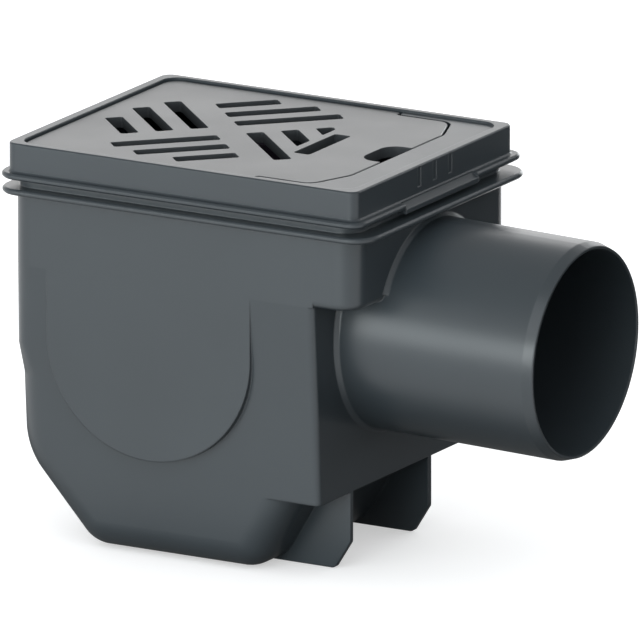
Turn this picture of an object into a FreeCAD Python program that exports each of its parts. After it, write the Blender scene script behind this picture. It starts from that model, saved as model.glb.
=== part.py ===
import math
import os

import FreeCAD
import Part

V = FreeCAD.Vector

# Main sizes in millimetres. X runs toward the outlet, the sump stands on Z = 0.
total_height = 205.3
body_half_x = 99.0
body_half_y = 78.0
body_corner_r = 12.5
wall = 4.0

# Side walls and sump
draft = 3.5
shelf_z = 143.0
shelf_edge_r = 3.5
shelf_step = 23.8
block_z = 40.0
block_corner_r = 3.5
taper_z = 102.0
round_z = 86.0
taper_corner_r = 9.5
low_corner_r = 15.6
left_lean = 0.4
chamfer_top_z = 44.9
chamfer_top_r = 38.0
chamfer_long = 38.4
base_bend_r = 18.0
slope_foot = 38.5
slope_top = 14.5
knee_back = 5.0
post_side = 22.0
post_deeper = 5.0
pad_left = 80.0
pad_z = 110.4
pad_r = 58.4

# Outlet spigot, fins and lower flange
pipe_r = 55.0
pipe_wall = 3.0
pipe_fall = 1.5
pipe_long = 87.0
pipe_bevel_long = 5.3
pipe_bevel_deep = 1.7
pipe_root = 2.0
pipe_root_draft = 0.4
socket_gap = 1.4
crown_gap = 4.6
fin_y = 39.0
fin_thick = 2.8
fin_set_back = 8.9
fin_corner_z = 14.3
fin_corner_r = 3.0
flange_thick = 3.0
flange_over = 5.4
flange_over_outlet = 9.6
flange_corner_r = 12.0
flange_outlet_r = 13.8
flange_edge = 0.9
flange_gap = 4.8
neck_step = 1.2

# Top frame
skirt_over = 1.15
skirt_high = 14.8
skirt_corner_r = 6.0
skirt_outlet_r = 5.0
upper_corner_r = 11.4
upper_outlet_r = 8.0
skirt_root = 0.8
rim_wide = 3.8
rim_wide_end = 5.0
rim_edge = 0.6
collar_gap = 2.0
collar_thick = 3.0
collar_below = 1.7
ledge_thick = 4.0
ledge_wide = 6.5
ledge_r = 6.0
ledge_outlet_r = 20.0
well_r = 3.0
lip_thick = 2.5
lip_wide = 6.0
lip_r = 6.0
lip_outlet_r = 16.0
lug_half_y = 36.0
lug_proud = 0.4
lug_face = 2.6
lug_step = 0.4
lug_edge_r = 0.6
lug_root = 2.0
lug_clear = 0.4
groove_y = 15.5
groove_wide = 3.6
groove_deep = 0.5
groove_foot = 4.0
groove_head = 1.0

# Grate
grate_drop = 1.3
grate_thick = 5.5
grate_gap = 1.2
grate_edge = 0.4
recess_r = 8.5
recess_outlet_r = 10.0
tongue_shelf = 17.1
tongue_long = 39.6
tongue_step = 5.0
tongue_step_r = 2.0
tongue_cut_x = 9.3
tongue_cut_y = 24.3
tongue_r = 8.0
tongue_end_r = 12.0
notch_deep = 13.2
notch_half_y = 15.8
notch_r = 9.0
slot_left = 75.2
slot_wide = 9.2
slot_corner = 1.0
slot_side = 12.0
slot_pitch = 18.0
slot_near = 7.5
slot_stop = (18.4, 10.5, 8.8)
slot_clip = 11.5
cross_slot_back = 2.7
cross_slot_half_y = 21.0

# Seals, trap and bucket
seal_high = 3.5
seal_lift = 0.5
trap_wall = 2.5
trap_long = 47.0
trap_low_z = 32.0
trap_clear = 3.0
trap_side = 3.5
trap_crown = 3.0
trap_deep_seal = 50.0
plug_gap = 2.0
plug_long = 15.0
lip_seal_wide = 4.0
lip_seal_back = 6.0
brow_drop = 40.0
brow_long = 26.0
grip_thick = 5.0
grip_sink = 2.0
grip_hole_r = 6.0
grip_hole_in = 10.5
bucket_wall = 2.0
bucket_low_z = 80.0
bucket_gap = 0.6
deck_r = 5.0
deck_outlet_r = 18.0
bucket_slot_wide = 3.5
bucket_slot_high = 58.0
bucket_slot_low = 12.0
bucket_slot_pitch = 9.0
bucket_corner_r = 8.0
bucket_trap_gap = 8.0
bail_r = 3.0
bail_drop = 12.0

# Sizes that follow from the ones above
rim_z = total_height
upper_flange_top = rim_z - skirt_high
upper_flange_low = upper_flange_top - flange_thick
lower_flange_top = upper_flange_low - flange_gap
lower_flange_low = lower_flange_top - flange_thick
neck_x = body_half_x - neck_step
neck_y = body_half_y - neck_step
inner_x = body_half_x - wall
inner_y = body_half_y - wall
skirt_x = body_half_x + skirt_over
skirt_y = body_half_y + skirt_over
grate_top = rim_z - grate_drop
seat_z = grate_top - grate_thick
collar_low = lower_flange_low - collar_below
collar_x = inner_x - collar_gap
collar_y = inner_y - collar_gap
well_x = collar_x - collar_thick
well_y = collar_y - collar_thick
lip_top = collar_low + lip_thick
recess_x = skirt_x - rim_wide_end
recess_y = skirt_y - rim_wide
grate_x0 = -recess_x + grate_gap
grate_half_y = recess_y - grate_gap
tongue_x1 = recess_x - tongue_shelf
tongue_x0 = tongue_x1 - tongue_long
tongue_half_y = grate_half_y - tongue_step
slot_centre_x = grate_x0 + slot_left
slot_clip_x = tongue_x0 - slot_clip
cross_slot_x = tongue_x0 - cross_slot_back
ledge_x0 = grate_x0 + ledge_wide
ledge_x1 = tongue_x1 - ledge_wide
ledge_half_y = tongue_half_y - ledge_wide
bore_r = pipe_r - pipe_wall
fall = math.radians(pipe_fall)
tilt = math.tan(math.radians(draft))
axis_wall_z = lower_flange_low - crown_gap - pipe_r
block_x = body_half_x - shelf_step
inside_x = block_x - wall
chamfer_top_x = left_lean - body_half_x
base_left_x = chamfer_top_x + chamfer_long
base_right_x = block_x - slope_foot
slope_top_x = block_x - slope_top
slope_run = (slope_top_x - base_right_x) / block_z
pad_x = pad_left - body_half_x
pipe_end_x = body_half_x + pipe_long
socket_x = body_half_x + flange_over_outlet + socket_gap


def flat(z):
    return lambda x, y: V(x, y, z)


def upright(y):
    return lambda x, z: V(x, y, z)


def across(x):
    return lambda y, z: V(x, y, z)


def round_corner(before, at, after, radius):
    into = (before - at).normalize()
    away = (after - at).normalize()
    half = into.getAngle(away) / 2
    run = radius / math.tan(half)
    middle = (into + away).normalize()
    centre = at + middle * (radius / math.sin(half))
    return at + into * run, centre - middle * radius, at + away * run


# Closed outline through corner points, each written as (a, b, corner radius)
def outline(points, place):
    spots = [place(a, b) for a, b, r in points]
    edges = []
    first = None
    last = None
    for i, spot in enumerate(spots):
        radius = points[i][2]
        start = spot
        end = spot
        if radius > 0:
            after = spots[(i + 1) % len(spots)]
            start, middle, end = round_corner(spots[i - 1], spot, after, radius)
        if last is None:
            first = start
        else:
            edges.append(Part.makeLine(last, start))
        if radius > 0:
            edges.append(Part.Arc(start, middle, end).toShape())
        last = end
    edges.append(Part.makeLine(last, first))
    return Part.Wire(edges)


def box_points(x0, x1, half_y, r0, r1):
    return [(x0, -half_y, r0), (x1, -half_y, r1), (x1, half_y, r1), (x0, half_y, r0)]


def plate(points, z0, z1):
    return Part.Face(outline(points, flat(z0))).extrude(V(0, 0, z1 - z0))


def side_plate(points, y0, y1):
    return Part.Face(outline(points, upright(y0))).extrude(V(0, y1 - y0, 0))


def loft(points_low, z_low, points_high, z_high):
    wires = [outline(points_low, flat(z_low)), outline(points_high, flat(z_high))]
    return Part.makeLoft(wires, True, True)


def edges_at(shape, z):
    box = [(e, e.BoundBox) for e in shape.Edges]
    return [e for e, b in box if abs(b.ZMin - z) < 0.01 and abs(b.ZMax - z) < 0.01]


def joined(first, others):
    return first.fuse(others).removeSplitter()


# Half width of the drafted long walls at one height, moved in by the given inset
def wall_half_y(z, inset):
    return body_half_y - (shelf_z - z) * tilt - inset / math.cos(math.radians(draft))


# The left wall leans in slightly between the shelf height and the chamfer
def left_x(z):
    drop = (shelf_z - z) / (shelf_z - chamfer_top_z)
    return -body_half_x + drop * (body_half_x + chamfer_top_x)


def axis_z(x):
    return axis_wall_z - (x - block_x) * math.tan(fall)


# Sump seen from the side: drafted left wall, chamfer, flat base and outlet slope
def sump_profile(top):
    knee_x = block_x - knee_back
    knee_z = block_z + (knee_x - slope_top_x) / slope_run
    return [
        (left_x(top), top, 0),
        (chamfer_top_x, chamfer_top_z, chamfer_top_r),
        (base_left_x, 0, base_bend_r),
        (base_right_x, 0, base_bend_r),
        (knee_x, knee_z, 0),
        (knee_x, top, 0),
    ]


def sump(inset):
    top = shelf_z + inset
    face = Part.Face(outline(sump_profile(top + inset), upright(0)))
    if inset > 0:
        face = face.makeOffset2D(-inset)
    solid = face.extrude(V(0, 2 * body_half_y, 0))
    solid.translate(V(0, -body_half_y, 0))
    low = wall_half_y(0, inset)
    high = wall_half_y(top, inset)
    section = [(-low, 0, 0), (low, 0, 0), (high, top, 0), (-high, top, 0)]
    sides = Part.Face(outline(section, across(-body_half_x))).extrude(V(2 * body_half_x, 0, 0))
    solid = solid.common(sides)
    # The rolled edge runs from the left wall under the base and up the slope
    rolled = []
    for edge in solid.Edges:
        middle = edge.valueAt((edge.FirstParameter + edge.LastParameter) / 2)
        on_side = abs(abs(middle.y) - wall_half_y(middle.z, inset)) < 0.01
        at_knee = middle.x > block_x - knee_back - inset - 0.01
        at_top = middle.z > top - 0.01
        if on_side and not at_knee and not at_top:
            rolled.append(edge)
    if inset > 0:
        return solid.makeChamfer((low_corner_r - inset) * (2 - math.sqrt(2)), rolled)
    return solid.makeFillet(low_corner_r, rolled)


# Flat upright pad for a drilled side inlet, on both long sides
def pads(inset):
    r = pad_r - inset
    y = body_half_y - inset
    top = shelf_z + 2 * wall
    place = upright(-y)
    arc = Part.Arc(place(pad_x - r, pad_z), place(pad_x, pad_z - r), place(pad_x + r, pad_z))
    lines = [
        Part.makeLine(place(pad_x + r, pad_z), place(pad_x + r, top)),
        Part.makeLine(place(pad_x + r, top), place(pad_x - r, top)),
        Part.makeLine(place(pad_x - r, top), place(pad_x - r, pad_z)),
    ]
    return Part.Face(Part.Wire([arc.toShape()] + lines)).extrude(V(0, 2 * y, 0))


# Straight block under the shelf that carries the spigot
def block(inset):
    low = block_z + inset
    high = shelf_z + inset
    low_y = wall_half_y(low, inset)
    high_y = wall_half_y(high, inset)
    section = [(-low_y, low, 0), (low_y, low, 0), (high_y, high, 0), (-high_y, high, 0)]
    return Part.Face(outline(section, across(0))).extrude(V(block_x - inset, 0, 0))


# Left corner whose rounding changes between two heights; side is -1 for the front, 1 for the back
def corner_post(z_low, r_low, z_high, r_high, side):
    wires = []
    for z, r in ((z_low, r_low), (z_high, r_high)):
        x = left_x(z)
        y = wall_half_y(z, 0)
        points = [
            (x, side * y, r),
            (x + post_side, side * y, 0),
            (x + post_side, side * (y - post_side), 0),
            (x, side * (y - post_side), 0),
        ]
        wires.append(outline(points, flat(z)))
    return Part.makeLoft(wires, True, True)


def housing_outside():
    r = body_corner_r
    upper = plate(
        box_points(-body_half_x, body_half_x, body_half_y, r, r), shelf_z, lower_flange_top
    )
    upper = upper.makeFillet(shelf_edge_r, edges_at(upper, shelf_z))
    under = box_points(-body_half_x, block_x, body_half_y, r, 0)
    lower = block(0)
    ends = []
    for edge in lower.Edges:
        box = edge.BoundBox
        if box.XMin > block_x - 0.01 and box.ZLength > 1.0:
            ends.append(edge)
    # The lower post runs on until it is well inside the rounded corner of the sump
    widen = post_deeper * (low_corner_r - taper_corner_r) / (taper_z - round_z)
    posts = []
    for side in (-1, 1):
        posts.append(
            corner_post(round_z - post_deeper, low_corner_r + widen, taper_z, taper_corner_r, side)
        )
        posts.append(corner_post(taper_z, taper_corner_r, shelf_z, r, side))
    return joined(upper, [
        sump(0),
        lower.makeFillet(block_corner_r, ends),
        plate(under, shelf_z, shelf_z + body_corner_r),
        pads(0),
    ] + posts)


def housing_inside():
    r = body_corner_r - wall
    upper = plate(box_points(-inner_x, inner_x, inner_y, r, r), shelf_z + wall, rim_z)
    return joined(upper, [sump(wall), block(wall), pads(wall)])


# Rod along the falling outlet axis between two X positions
def axis_rod(radius, x0, x1):
    along = V(math.cos(fall), 0, -math.sin(fall))
    return Part.makeCylinder(radius, (x1 - x0) / math.cos(fall), V(x0, 0, axis_z(x0)), along)


# Cone along the same axis
def axis_cone(r0, x0, r1, x1):
    along = V(math.cos(fall), 0, -math.sin(fall))
    return Part.makeCone(r0, r1, (x1 - x0) / math.cos(fall), V(x0, 0, axis_z(x0)), along)


def right_of(x):
    return Part.makeBox(pipe_end_x, 2 * body_half_y, total_height, V(x, -body_half_y, 0))


# The spigot is drafted at its root, then straight for the socket, with a bevelled end
def root_r(x):
    return pipe_r + (socket_x - x) * math.tan(math.radians(pipe_root_draft))


def spigot():
    bevel_x = pipe_end_x - pipe_bevel_long * math.cos(fall)
    start_x = inside_x - wall
    pipe = axis_cone(root_r(start_x), start_x, pipe_r, socket_x)
    pipe = pipe.fuse([
        axis_rod(pipe_r, socket_x, bevel_x),
        axis_cone(pipe_r, bevel_x, pipe_r - pipe_bevel_deep, pipe_end_x),
    ])
    return pipe.common(right_of(inside_x))


# Short flare where the spigot leaves a wall, kept between two heights
def root_flare(x, z0, z1):
    r = root_r(x)
    middle = V(x, 0, axis_z(x))
    flare = Part.makeCone(r + pipe_root, r - pipe_root, 2 * pipe_root, middle, V(1, 0, 0))
    return flare.common(Part.makeBox(4 * pipe_root, 4 * r, z1 - z0, V(x, -2 * r, z0)))


def fin(y):
    points = [
        (base_right_x - 2 * wall, 0, 0),
        (block_x - fin_set_back, 0, fin_corner_r),
        (block_x, fin_corner_z, fin_corner_r),
        (block_x, block_z + wall / 4, 0),
        (base_right_x - 2 * wall, block_z + wall / 4, 0),
    ]
    return side_plate(points, y - fin_thick / 2, y + fin_thick / 2)


def make_body():
    x0 = -body_half_x - flange_over
    x1 = body_half_x + flange_over_outlet
    y1 = body_half_y + flange_over
    flange_points = box_points(x0, x1, y1, flange_corner_r, flange_outlet_r)
    flange = plate(flange_points, lower_flange_low, lower_flange_top)
    nose = edges_at(flange, lower_flange_low) + edges_at(flange, lower_flange_top)
    flange = flange.makeChamfer(flange_edge, nose)
    neck_r = body_corner_r - neck_step
    neck = plate(
        box_points(-neck_x, neck_x, neck_y, neck_r, neck_r), lower_flange_low, upper_flange_low
    )
    outside = housing_outside().fuse([
        spigot(),
        root_flare(block_x, block_z, shelf_z + wall / 2),
        root_flare(body_half_x, shelf_z + shelf_edge_r, lower_flange_low),
        flange,
        neck,
        fin(-fin_y),
        fin(fin_y),
    ])
    # The spigot runs on through the hollow to the inner wall
    body = outside.cut(housing_inside().cut(spigot()))
    return body.cut(axis_rod(bore_r, inside_x - wall, pipe_end_x + wall)).removeSplitter()


# Outline of the grate, grown by the given gap for its pocket
def grate_points(grow):
    wide = grate_half_y + grow
    slim = tongue_half_y + grow
    x0 = grate_x0 - grow
    x1 = tongue_x0 + grow
    x2 = tongue_x1 + grow
    corner_r = recess_r - grate_gap + grow
    side = [
        (x0, wide, corner_r),
        (x1, wide, tongue_step_r),
        (x1, slim, tongue_step_r),
        (x2 - tongue_cut_x, slim, tongue_r + grow),
        (x2, slim - tongue_cut_y, tongue_end_r + grow),
    ]
    return [(x, -y, r) for x, y, r in side] + side[::-1]


# Shorter side and corners of one slot in the set that points along the given angle
def slot_corners(angle, index):
    turn = math.radians(angle)
    along = (math.cos(turn), math.sin(turn))
    aside = (-math.sin(turn), math.cos(turn))
    side = slot_side + index * slot_pitch
    stop = (grate_half_y - slot_stop[index]) * math.sqrt(2) - side - slot_wide / 2
    short = stop - slot_near
    ends = []
    for edge in (side - slot_wide / 2, side + slot_wide / 2):
        far = stop
        if angle == -45 and index > 0:
            far = (slot_clip_x - slot_centre_x - aside[0] * edge) / along[0]
        short = min(short, far - slot_near)
        for reach in (slot_near, far):
            x = slot_centre_x + along[0] * reach + aside[0] * edge
            y = along[1] * reach + aside[1] * edge
            ends.append((x, y, 0))
    return short, [ends[0], ends[1], ends[3], ends[2]]


# One slot through the grate, with its corners cut off
def slot(points):
    hole = plate(points, seat_z, grate_top)
    upright_edges = [e for e in hole.Edges if e.BoundBox.ZLength > grate_thick / 2]
    return hole.makeChamfer(slot_corner, upright_edges)


def make_grate():
    grate = plate(grate_points(0), seat_z, grate_top)
    grate = grate.makeChamfer(grate_edge, edges_at(grate, grate_top))
    cuts = []
    for angle in (135, 45, -45, 225):
        for index in range(len(slot_stop)):
            short, corners = slot_corners(angle, index)
            # A slot with no room for its cut corners is left out
            if short > 2 * slot_corner:
                cuts.append(slot(corners))
    half = slot_wide / 2
    cuts.append(slot(box_points(cross_slot_x - half, cross_slot_x + half, cross_slot_half_y, 0, 0)))
    notch = box_points(tongue_x1 - notch_deep, tongue_x1 + notch_deep, notch_half_y, notch_r, 0)
    cuts.append(plate(notch, seat_z, grate_top))
    return grate.cut(cuts)


def make_frame():
    skirt_points = box_points(-skirt_x, skirt_x, skirt_y, skirt_corner_r, skirt_outlet_r)
    skirt = plate(skirt_points, upper_flange_low, rim_z)
    skirt = skirt.makeChamfer(rim_edge, edges_at(skirt, rim_z))
    over_x = body_half_x + flange_over
    over_y = body_half_y + flange_over
    over_points = box_points(-over_x, over_x, over_y, upper_corner_r, upper_outlet_r)
    flange = plate(over_points, upper_flange_low, upper_flange_top)
    nose = edges_at(flange, upper_flange_low) + edges_at(flange, upper_flange_top)
    flange = flange.makeChamfer(flange_edge, nose)
    collar_r = body_corner_r - wall - collar_gap
    collar = plate(
        box_points(-collar_x, collar_x, collar_y, collar_r, collar_r), collar_low, upper_flange_top
    )
    # Over the outlet the flange slopes down to a deeper lip
    lip_x = over_x + lug_proud
    slope_z = upper_flange_low + lug_step
    lug_points = [
        (skirt_x - lug_root, upper_flange_top, 0),
        (skirt_x, upper_flange_top, 0),
        (lip_x, slope_z, lug_edge_r),
        (lip_x, slope_z - lug_face, lug_edge_r),
        (neck_x + lug_clear, slope_z - lug_face, 0),
        (neck_x + lug_clear, upper_flange_low, 0),
        (skirt_x - lug_root, upper_flange_low, 0),
    ]
    lug = side_plate(lug_points, -lug_half_y, lug_half_y)
    room_at = V(skirt_x, -lug_half_y, upper_flange_low - flange_thick)
    room = Part.makeBox(2 * flange_over, 2 * lug_half_y, 3 * flange_thick, room_at)
    root_points = box_points(
        -skirt_x - skirt_root,
        skirt_x + skirt_root,
        skirt_y + skirt_root,
        skirt_corner_r + skirt_root,
        skirt_outlet_r + skirt_root,
    )
    root = loft(root_points, upper_flange_top, skirt_points, upper_flange_top + skirt_root)
    frame = skirt.fuse([flange.cut(room), collar, lug, root])
    grooves = []
    for y in (-groove_y, 0, groove_y):
        grooves.append(Part.makeBox(
            2 * groove_deep,
            groove_wide,
            skirt_high - groove_foot - groove_head,
            V(skirt_x - groove_deep, y - groove_wide / 2, upper_flange_top + groove_foot),
        ))
    # Hollow from the top: shallow recess, grate pocket, ledge opening, well and bucket lip
    ledge_low = seat_z - ledge_thick
    well = box_points(-well_x, well_x, well_y, well_r, well_r)
    ledge = box_points(ledge_x0, ledge_x1, ledge_half_y, ledge_r, ledge_outlet_r)
    lip_y = ledge_half_y - lip_wide
    lip = box_points(ledge_x0 + lip_wide, ledge_x1 - lip_wide, lip_y, lip_r, lip_outlet_r)
    finger = tongue_x1 + grate_gap
    cuts = [
        plate(box_points(-recess_x, recess_x, recess_y, recess_r, recess_outlet_r), grate_top, rim_z),
        plate(grate_points(grate_gap), seat_z, rim_z),
        plate(ledge, lip_top, rim_z),
        plate(well, lip_top, ledge_low),
        plate(lip, collar_low, rim_z),
        plate(box_points(ledge_x1 - notch_deep, finger, notch_half_y, 0, lip_wide), lip_top, grate_top),
    ]
    return frame.cut(cuts + grooves).removeSplitter()


def make_frame_seal():
    r = body_corner_r - wall
    low = lower_flange_low + seal_lift
    ring = plate(box_points(-inner_x, inner_x, inner_y, r, r), low, low + seal_high)
    hole_r = r - collar_gap
    hole = plate(
        box_points(-collar_x, collar_x, collar_y, hole_r, hole_r), low, low + seal_high
    )
    return ring.cut(hole)


plug_r = bore_r - plug_gap
trap_half_y = plug_r + trap_side
trap_top = axis_wall_z + plug_r + trap_crown
trap_x0 = inside_x - trap_long
weir_z = trap_low_z + trap_deep_seal


# Trap seen from the side; the foot follows the slope of the sump
def trap_profile(inset):
    sine = block_z / math.hypot(block_z, slope_top_x - base_right_x)
    foot_x = base_right_x + trap_low_z * slope_run - (wall + trap_clear + inset) / sine
    x1 = inside_x - inset
    low = trap_low_z
    bend_z = trap_low_z + (x1 - foot_x) / slope_run
    brow_z = trap_top - brow_drop
    ease = inset * 0.45
    if inset > 0:
        foot_x = foot_x - slope_run
        low = trap_low_z - 1.0
    return [
        (trap_x0 + inset, low, 0),
        (trap_x0 + inset, brow_z - ease, 0),
        (trap_x0 + brow_long + ease, trap_top - inset, 0),
        (x1, trap_top - inset, 0),
        (x1, bend_z, 0),
        (foot_x, low, 0),
    ]


def make_trap():
    hood = side_plate(trap_profile(0), -trap_half_y, trap_half_y)
    inner_half = trap_half_y - trap_wall
    hollow = side_plate(trap_profile(trap_wall), -inner_half, inner_half)
    plug_x = inside_x + plug_long
    plug = axis_rod(plug_r, inside_x - trap_wall - 6.0, plug_x).common(right_of(inside_x - trap_wall))
    way = axis_rod(plug_r - trap_wall, inside_x - trap_wall - 1.0, plug_x + 2.0)
    over_weir = Part.makeBox(
        2 * body_half_x, 2 * body_half_y, total_height, V(-body_half_x, -body_half_y, weir_z)
    )
    # Behind the weir wall the plug is open over its full height
    behind = way.common(right_of(inside_x))
    # Upright grip on the sloping brow, with a finger hole
    grip_points = [
        (trap_x0, trap_top - brow_drop - grip_sink, 0),
        (trap_x0 + brow_long + 2 * grip_sink, trap_top - grip_sink / 2, 0),
        (trap_x0 + brow_long + grip_sink, trap_top, 0),
        (trap_x0, trap_top, grip_hole_r),
    ]
    grip = side_plate(grip_points, -grip_thick / 2, grip_thick / 2)
    hole_at = V(trap_x0 + grip_hole_in, -grip_thick / 2, trap_top - grip_hole_in)
    hole = Part.makeCylinder(grip_hole_r, grip_thick, hole_at, V(0, 1, 0))
    trap = hood.fuse([plug, grip.cut(hole)]).cut([hollow, way.common(over_weir), behind])
    return trap.removeSplitter()


def make_trap_seal():
    x0 = inside_x + plug_long - lip_seal_back - lip_seal_wide
    ring = axis_rod(bore_r, x0, x0 + lip_seal_wide)
    return ring.cut(axis_rod(plug_r, x0 - 1.0, x0 + lip_seal_wide + 1.0))


# Bucket with a flat deck that covers the trap
def make_bucket():
    deck_top = lip_top + lip_thick
    x0 = ledge_x0 + bucket_gap
    x1 = ledge_x1 - bucket_gap
    half_y = ledge_half_y - bucket_gap
    deck = plate(box_points(x0, x1, half_y, deck_r, deck_outlet_r), lip_top, deck_top)
    cup_x0 = ledge_x0 + lip_wide + bucket_gap
    cup_x1 = trap_x0 - bucket_trap_gap
    cup_y = ledge_half_y - lip_wide - bucket_gap
    t = bucket_wall
    r = bucket_corner_r
    cup = plate(box_points(cup_x0, cup_x1, cup_y, r, r), bucket_low_z, deck_top)
    inside = box_points(cup_x0 + t, cup_x1 - t, cup_y - t, r - t, r - t)
    cuts = [plate(inside, bucket_low_z + t, deck_top)]
    middle = (cup_x0 + cup_x1) / 2
    count = int((cup_x1 - cup_x0 - 2 * r) / bucket_slot_pitch)
    z = bucket_low_z + bucket_slot_low
    for i in range(count):
        x = middle + (i - (count - 1) / 2) * bucket_slot_pitch - bucket_slot_wide / 2
        cuts.append(Part.makeBox(bucket_slot_wide, 2 * cup_y, bucket_slot_high, V(x, -cup_y, z)))
    bail_z = deck_top - bail_drop
    bail = Part.makeCylinder(bail_r, 2 * cup_y - t, V(middle, -cup_y + t / 2, bail_z), V(0, 1, 0))
    return deck.fuse(cup).cut(cuts).fuse(bail).removeSplitter()


nodes = {
    "drain_body": make_body,
    "top_frame": make_frame,
    "slotted_grate": make_grate,
    "frame_seal": make_frame_seal,
    "trap_insert": make_trap,
    "trap_seal": make_trap_seal,
    "silt_bucket": make_bucket,
}

os.makedirs("parts", exist_ok=True)
for name, make in nodes.items():
    shape = make()
    shape.exportStep("parts/" + name + ".step")
    print(name, shape.isValid(), len(shape.Solids), round(shape.Volume / 1000, 1), "cm3")
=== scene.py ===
import math
import bpy
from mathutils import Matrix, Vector

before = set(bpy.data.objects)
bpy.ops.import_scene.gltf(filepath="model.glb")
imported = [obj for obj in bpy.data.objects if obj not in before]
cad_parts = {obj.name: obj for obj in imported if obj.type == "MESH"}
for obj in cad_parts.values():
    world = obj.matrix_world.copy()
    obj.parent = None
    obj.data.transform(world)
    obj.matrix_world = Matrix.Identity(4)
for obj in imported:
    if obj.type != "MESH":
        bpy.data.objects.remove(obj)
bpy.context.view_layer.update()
print("frame loaded:", ", ".join(sorted(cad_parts)))

scene = bpy.context.scene
scene.view_settings.view_transform = "Standard"


# small helpers for node trees
def addNode(tree, kind, **settings):
    node = tree.nodes.new(kind)
    for key, value in settings.items():
        setattr(node, key, value)
    return node


def plug(tree, source, target):
    tree.links.new(source, target)


def freshMaterial(name):
    mat = bpy.data.materials.new(name)
    mat.use_nodes = True
    mat.node_tree.nodes.clear()
    return mat, mat.node_tree


# carries a value from one range over to another
def spread(tree, value, fromEnds, toEnds, ease="LINEAR"):
    node = addNode(tree, "ShaderNodeMapRange", interpolation_type=ease)
    ends = (*fromEnds, *toEnds)
    for socket, end in zip(("From Min", "From Max", "To Min", "To Max"), ends):
        node.inputs[socket].default_value = end
    plug(tree, value, node.inputs["Value"])
    return node.outputs["Result"]


def product(tree, first, second):
    node = addNode(tree, "ShaderNodeMath", operation="MULTIPLY")
    plug(tree, first, node.inputs[0])
    plug(tree, second, node.inputs[1])
    return node.outputs["Value"]


def flatColour(tree, kind, colour):
    node = addNode(tree, kind)
    node.inputs["Color"].default_value = (*colour, 1.0)
    return node


# what all the moulded finishes share
mould = {
    "noiseCut": (0.35, 0.65),  # middle part of the noise, spread to the full range
    "cloudDetail": 5.0,
    "edgeSamples": 6, "edgeFacing": (0.995, 0.80),  # rubbing starts, rubbing is full
    "rubScale": 70.0, "rubDetail": 3.0, "rubPatches": (0.3, 1.0),
    "glossScale": 24.0, "glossDetail": 4.0,
    "grainDetail": 2.0, "grainDepth": 0.0003,
}


# grey noise between two values, in object space so it sits still on the piece
def noiseRange(tree, coords, scale, detail, ends):
    noise = addNode(tree, "ShaderNodeTexNoise")
    noise.inputs["Scale"].default_value = scale
    noise.inputs["Detail"].default_value = detail
    plug(tree, coords, noise.inputs["Vector"])
    return spread(tree, noise.outputs["Fac"], mould["noiseCut"], ends)


# moulded plastic: soft mottling, spark-eroded grain, rounded and slightly rubbed edges
def mouldedPlastic(name, look):
    mat, tree = freshMaterial(name)
    out = addNode(tree, "ShaderNodeOutputMaterial")
    shader = addNode(tree, "ShaderNodeBsdfPrincipled")
    coords = addNode(tree, "ShaderNodeTexCoord").outputs["Object"]

    # colour: base, a little darker and lighter in soft clouds
    body = addNode(tree, "ShaderNodeMix", data_type="RGBA")
    for socket, shade in (("A", look["cloudDark"]), ("B", look["cloudLight"])):
        body.inputs[socket].default_value = (*[c * shade for c in look["colour"]], 1.0)
    cloud = noiseRange(tree, coords, look["cloudScale"], mould["cloudDetail"], (0.0, 1.0))
    plug(tree, cloud, body.inputs["Factor"])

    # edges: where the rounded normal leaves the flat one
    bevel = addNode(tree, "ShaderNodeBevel", samples=mould["edgeSamples"])
    bevel.inputs["Radius"].default_value = look["edgeRound"]
    geometry = addNode(tree, "ShaderNodeNewGeometry")
    facing = addNode(tree, "ShaderNodeVectorMath", operation="DOT_PRODUCT")
    plug(tree, bevel.outputs["Normal"], facing.inputs[0])
    plug(tree, geometry.outputs["Normal"], facing.inputs[1])
    rubbed = spread(tree, facing.outputs["Value"], mould["edgeFacing"], (0.0, look["edgeRub"]))
    patches = noiseRange(
        tree, coords, mould["rubScale"], mould["rubDetail"], mould["rubPatches"])
    worn = addNode(tree, "ShaderNodeMix", data_type="RGBA")
    worn.inputs["B"].default_value = (*look["rubColour"], 1.0)
    plug(tree, product(tree, rubbed, patches), worn.inputs["Factor"])
    plug(tree, body.outputs["Result"], worn.inputs["A"])
    plug(tree, worn.outputs["Result"], shader.inputs["Base Color"])

    # gloss varies with handling
    gloss = noiseRange(
        tree, coords, mould["glossScale"], mould["glossDetail"], look["rough"])
    plug(tree, gloss, shader.inputs["Roughness"])
    shader.inputs["IOR"].default_value = look["ior"]

    # fine mould grain over the rounded edges
    grain = addNode(tree, "ShaderNodeTexNoise")
    grain.inputs["Scale"].default_value = look["grainScale"]
    grain.inputs["Detail"].default_value = mould["grainDetail"]
    plug(tree, coords, grain.inputs["Vector"])
    bump = addNode(tree, "ShaderNodeBump")
    bump.inputs["Strength"].default_value = look["grain"]
    bump.inputs["Distance"].default_value = mould["grainDepth"]
    plug(tree, grain.outputs["Fac"], bump.inputs["Height"])
    plug(tree, bevel.outputs["Normal"], bump.inputs["Normal"])
    plug(tree, bump.outputs["Normal"], shader.inputs["Normal"])
    plug(tree, shader.outputs["BSDF"], out.inputs["Surface"])
    return mat


def dress(node, mat):
    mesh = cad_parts[node].data
    mesh.materials.clear()
    mesh.materials.append(mat)


# moulded body with its spigot, flange and fins
drainBody = {
    "colour": (0.044, 0.054, 0.061),
    "cloudScale": 7.0, "cloudDark": 0.93, "cloudLight": 1.07,
    "edgeRound": 0.0013, "edgeRub": 0.22, "rubColour": (0.11, 0.12, 0.125),
    "rough": (0.285, 0.31), "ior": 1.53,  # below 0.28 the denoiser draws contour lines
    "grainScale": 1400.0, "grain": 0.10,
}
dress("drain_body", mouldedPlastic("bodyPlastic", drainBody))

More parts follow.
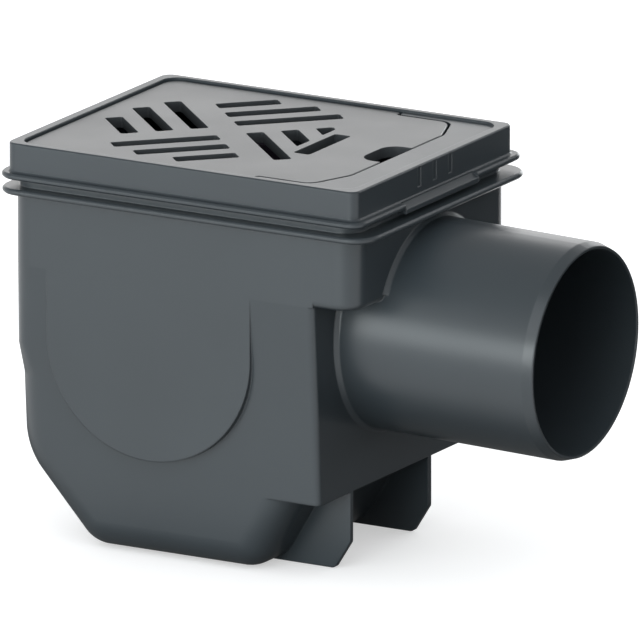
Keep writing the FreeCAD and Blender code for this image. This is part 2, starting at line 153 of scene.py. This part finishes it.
# frame clipped round the top
topFrame = {
    "colour": (0.041, 0.050, 0.057),
    "cloudScale": 9.0, "cloudDark": 0.94, "cloudLight": 1.06,
    "edgeRound": 0.0008, "edgeRub": 0.12, "rubColour": (0.11, 0.12, 0.125),
    "rough": (0.32, 0.35), "ior": 1.51,
    "grainScale": 1600.0, "grain": 0.08,
}
dress("top_frame", mouldedPlastic("framePlastic", topFrame))

# slotted grate
slottedGrate = {
    "colour": (0.058, 0.063, 0.067),
    "cloudScale": 11.0, "cloudDark": 0.93, "cloudLight": 1.07,
    "edgeRound": 0.0004, "edgeRub": 0.35, "rubColour": (0.12, 0.13, 0.135),
    "rough": (0.33, 0.36), "ior": 1.53,
    "grainScale": 1500.0, "grain": 0.12,
}
dress("slotted_grate", mouldedPlastic("gratePlastic", slottedGrate))

# silt bucket, darker with a plum cast
siltBucket = {
    "colour": (0.055, 0.042, 0.062),
    "cloudScale": 12.0, "cloudDark": 0.85, "cloudLight": 1.15,
    "edgeRound": 0.0008, "edgeRub": 0.30, "rubColour": (0.09, 0.08, 0.10),
    "rough": (0.40, 0.52), "ior": 1.45,
    "grainScale": 1300.0, "grain": 0.10,
}
dress("silt_bucket", mouldedPlastic("bucketPlastic", siltBucket))

# odour trap
trapInsert = {
    "colour": (0.050, 0.052, 0.056),
    "cloudScale": 12.0, "cloudDark": 0.88, "cloudLight": 1.12,
    "edgeRound": 0.0008, "edgeRub": 0.30, "rubColour": (0.13, 0.135, 0.14),
    "rough": (0.38, 0.50), "ior": 1.45,
    "grainScale": 1300.0, "grain": 0.10,
}
dress("trap_insert", mouldedPlastic("trapPlastic", trapInsert))

# both rubber rings
sealRings = {
    "colour": (0.018, 0.018, 0.019),
    "cloudScale": 30.0, "cloudDark": 0.85, "cloudLight": 1.2,
    "edgeRound": 0.0005, "edgeRub": 0.20, "rubColour": (0.06, 0.06, 0.06),
    "rough": (0.62, 0.78), "ior": 1.5,
    "grainScale": 2200.0, "grain": 0.20,
}
sealRubber = mouldedPlastic("sealRubber", sealRings)
for ring in ("frame_seal", "trap_seal"):
    dress(ring, sealRubber)
print("finishes assigned")


# factor that is 1 for rays that see the studio straight on, in gloss or through glass
def seenRay(tree):
    path = addNode(tree, "ShaderNodeLightPath")
    first = addNode(tree, "ShaderNodeMath", operation="MAXIMUM")
    both = addNode(tree, "ShaderNodeMath", operation="MAXIMUM")
    plug(tree, path.outputs["Is Camera Ray"], first.inputs[0])
    plug(tree, path.outputs["Is Glossy Ray"], first.inputs[1])
    plug(tree, first.outputs["Value"], both.inputs[0])
    plug(tree, path.outputs["Is Transmission Ray"], both.inputs[1])
    return both.outputs["Value"]


# one shader for the light that is given off, another for what is seen
def givenAndSeen(tree, out, given, seen):
    choose = addNode(tree, "ShaderNodeMixShader")
    plug(tree, seenRay(tree), choose.inputs["Fac"])
    plug(tree, given, choose.inputs[1])
    plug(tree, seen, choose.inputs[2])
    plug(tree, choose.outputs["Shader"], out.inputs["Surface"])


# pale floor: white to the eye, with the soft shadow left on it
paleFloor = {
    "size": 6.0, "drop": 0.0004,
    "glow": 0.86, "tone": 0.55, "bounce": 0.10,
    "shade": 0.55, "shadeReach": 0.14, "shadeSamples": 8,
}
# painted shade: oval of floor under and behind the part, dimmed for gloss rays only, so the part
# mirrors a darker floor there
dimPatch = {
    "place": (0.02, 0.08, 0.0), "stretch": (0.5, 1.0, 1.0),
    "edge": (0.13, 0.23), "tone": 0.14,
}
bpy.ops.mesh.primitive_plane_add(size=paleFloor["size"], location=(0, 0, -paleFloor["drop"]))
floor = bpy.context.object
floor.name = "studioFloor"
floorMat, tree = freshMaterial("paleFloor")
out = addNode(tree, "ShaderNodeOutputMaterial")

contact = addNode(tree, "ShaderNodeAmbientOcclusion", samples=paleFloor["shadeSamples"])
contact.inputs["Distance"].default_value = paleFloor["shadeReach"]
shaded = (paleFloor["glow"] * paleFloor["shade"], paleFloor["glow"])
level = spread(tree, contact.outputs["AO"], (0.0, 1.0), shaded)

# painted shade in the part's reflections: gloss rays see the floor's glow and tone dimmed inside
# the oval
away = addNode(tree, "ShaderNodeVectorMath", operation="SUBTRACT")
away.inputs[1].default_value = dimPatch["place"]
plug(tree, addNode(tree, "ShaderNodeTexCoord").outputs["Object"], away.inputs[0])
oval = addNode(tree, "ShaderNodeVectorMath", operation="MULTIPLY")
oval.inputs[1].default_value = dimPatch["stretch"]
plug(tree, away.outputs["Vector"], oval.inputs[0])
reach = addNode(tree, "ShaderNodeVectorMath", operation="LENGTH")
plug(tree, oval.outputs["Vector"], reach.inputs[0])
dimmed = spread(
    tree, reach.outputs["Value"], dimPatch["edge"], (dimPatch["tone"], 1.0), "SMOOTHSTEP")
onlyGloss = addNode(tree, "ShaderNodeMix", data_type="FLOAT")
onlyGloss.inputs["A"].default_value = 1.0
rays = addNode(tree, "ShaderNodeLightPath")
plug(tree, rays.outputs["Is Glossy Ray"], onlyGloss.inputs["Factor"])
plug(tree, dimmed, onlyGloss.inputs["B"])

glow = addNode(tree, "ShaderNodeEmission")
plug(tree, product(tree, level, onlyGloss.outputs["Result"]), glow.inputs["Strength"])
pale = addNode(tree, "ShaderNodeBsdfDiffuse")
paleTone = addNode(tree, "ShaderNodeMath", operation="MULTIPLY")
paleTone.inputs[1].default_value = paleFloor["tone"]
plug(tree, onlyGloss.outputs["Result"], paleTone.inputs[0])
plug(tree, paleTone.outputs["Value"], pale.inputs["Color"])
seen = addNode(tree, "ShaderNodeAddShader")
plug(tree, glow.outputs["Emission"], seen.inputs[0])
plug(tree, pale.outputs["BSDF"], seen.inputs[1])
bounce = flatColour(tree, "ShaderNodeBsdfDiffuse", [paleFloor["bounce"]] * 3)
givenAndSeen(tree, out, bounce.outputs["BSDF"], seen.outputs["Shader"])
floor.data.materials.append(floorMat)

# white room, dim for the light it gives: the walls are white, the ceiling above them greyer
whiteRoom = {
    "light": 0.58, "lightTint": (0.93, 0.97, 1.0),
    "wall": 1.0, "wallTint": (1.0, 1.0, 1.0),
    "ceiling": 0.45, "ceilingRise": (0.38, 0.72),
}
world = bpy.data.worlds.new("whiteRoom")
scene.world = world
world.use_nodes = True
tree = world.node_tree
tree.nodes.clear()
out = addNode(tree, "ShaderNodeOutputWorld")
dim = flatColour(tree, "ShaderNodeBackground", whiteRoom["lightTint"])
dim.inputs["Strength"].default_value = whiteRoom["light"]
white = flatColour(tree, "ShaderNodeBackground", whiteRoom["wallTint"])
height = addNode(tree, "ShaderNodeSeparateXYZ")
plug(tree, addNode(tree, "ShaderNodeTexCoord").outputs["Generated"], height.inputs["Vector"])
fade = spread(
    tree, height.outputs["Z"], whiteRoom["ceilingRise"],
    (whiteRoom["wall"], whiteRoom["ceiling"]), "SMOOTHSTEP")
plug(tree, fade, white.inputs["Strength"])
givenAndSeen(tree, out, dim.outputs["Background"], white.outputs["Background"])

# soft boxes, all aimed at the middle of the part
middle = (0.03, 0.0, 0.11)
softBoxes = {
    "frontBox": {
        "direction": (-0.18, -0.98, 0.10), "distance": 2.0, "wide": 2.6, "high": 0.72,
        "power": 20.0, "tint": (0.93, 1.0, 1.02),
    },
    "backBox": {
        "direction": (-0.48, 0.84, 0.30), "distance": 2.5, "wide": 2.6, "high": 1.2,
        "power": 9.0, "tint": (1.0, 1.0, 1.0),
    },
    "fillBox": {
        "direction": (0.10, -0.72, 0.68), "distance": 2.5, "wide": 1.6, "high": 1.6,
        "power": 9.5, "tint": (0.96, 1.0, 1.04),
    },
    "edgeBox": {
        "direction": (0.12, -0.97, 0.15), "distance": 2.0, "wide": 0.5, "high": 0.5,
        "power": 3.6, "tint": (0.93, 1.0, 1.0),
    },
    "rearBox": {
        "direction": (0.18, 0.96, 0.18), "distance": 2.2, "wide": 2.0, "high": 0.7,
        "power": 12.5, "tint": (0.95, 1.0, 1.02),
    },
}
for name, look in softBoxes.items():
    lamp = bpy.data.lights.new(name, "AREA")
    lamp.shape = "RECTANGLE"
    lamp.size = look["wide"]
    lamp.size_y = look["high"]
    lamp.energy = look["power"]
    lamp.color = look["tint"]
    box = bpy.data.objects.new(name, lamp)
    scene.collection.objects.link(box)
    toward = Vector(look["direction"]).normalized()
    box.location = Vector(middle) + toward * look["distance"]
    box.rotation_euler = toward.to_track_quat("Z", "Y").to_euler()

# black flag that only gloss sees: keeps the outlet end from mirroring the pale floor
blackFlag = {"tone": 0.03, "wide": 0.62, "high": 0.26, "place": (0.44, 0.20)}
bpy.ops.mesh.primitive_plane_add(size=1.0, location=(*blackFlag["place"], blackFlag["high"] / 2))
flag = bpy.context.object
flag.name = "studioFlag"
flag.scale = (blackFlag["wide"], blackFlag["high"], 1.0)
flag.rotation_euler = (math.radians(90.0), 0.0, 0.0)
flag.visible_camera = False
flag.visible_diffuse = False
flag.visible_shadow = False
flagMat, tree = freshMaterial("flagCloth")
out = addNode(tree, "ShaderNodeOutputMaterial")
cloth = flatColour(tree, "ShaderNodeBsdfDiffuse", [blackFlag["tone"]] * 3)
plug(tree, cloth.outputs["BSDF"], out.inputs["Surface"])
flag.data.materials.append(flagMat)
print("studio set")

# camera: long lens, near-parallel view from the front right
view = {
    "azimuth": 30.0, "elevation": 15.0,
    "target": (0.03787, -0.00584, 0.11546),
    "frameWide": 0.31779, "lens": 1500.0, "sensor": 36.0, "clipEnd": 60.0,
}
cameraData = bpy.data.cameras.new("photoCamera")
camera = bpy.data.objects.new("photoCamera", cameraData)
scene.collection.objects.link(camera)
azimuth = math.radians(view["azimuth"])
elevation = math.radians(view["elevation"])
back = Vector((
    math.sin(azimuth) * math.cos(elevation),
    -math.cos(azimuth) * math.cos(elevation),
    math.sin(elevation),
))
cameraData.sensor_width = view["sensor"]
cameraData.lens = view["lens"]
cameraData.clip_end = view["clipEnd"]
distance = view["frameWide"] * view["lens"] / view["sensor"]
camera.location = Vector(view["target"]) + back * distance
camera.rotation_euler = back.to_track_quat("Z", "Y").to_euler()
scene.camera = camera
print("camera set")
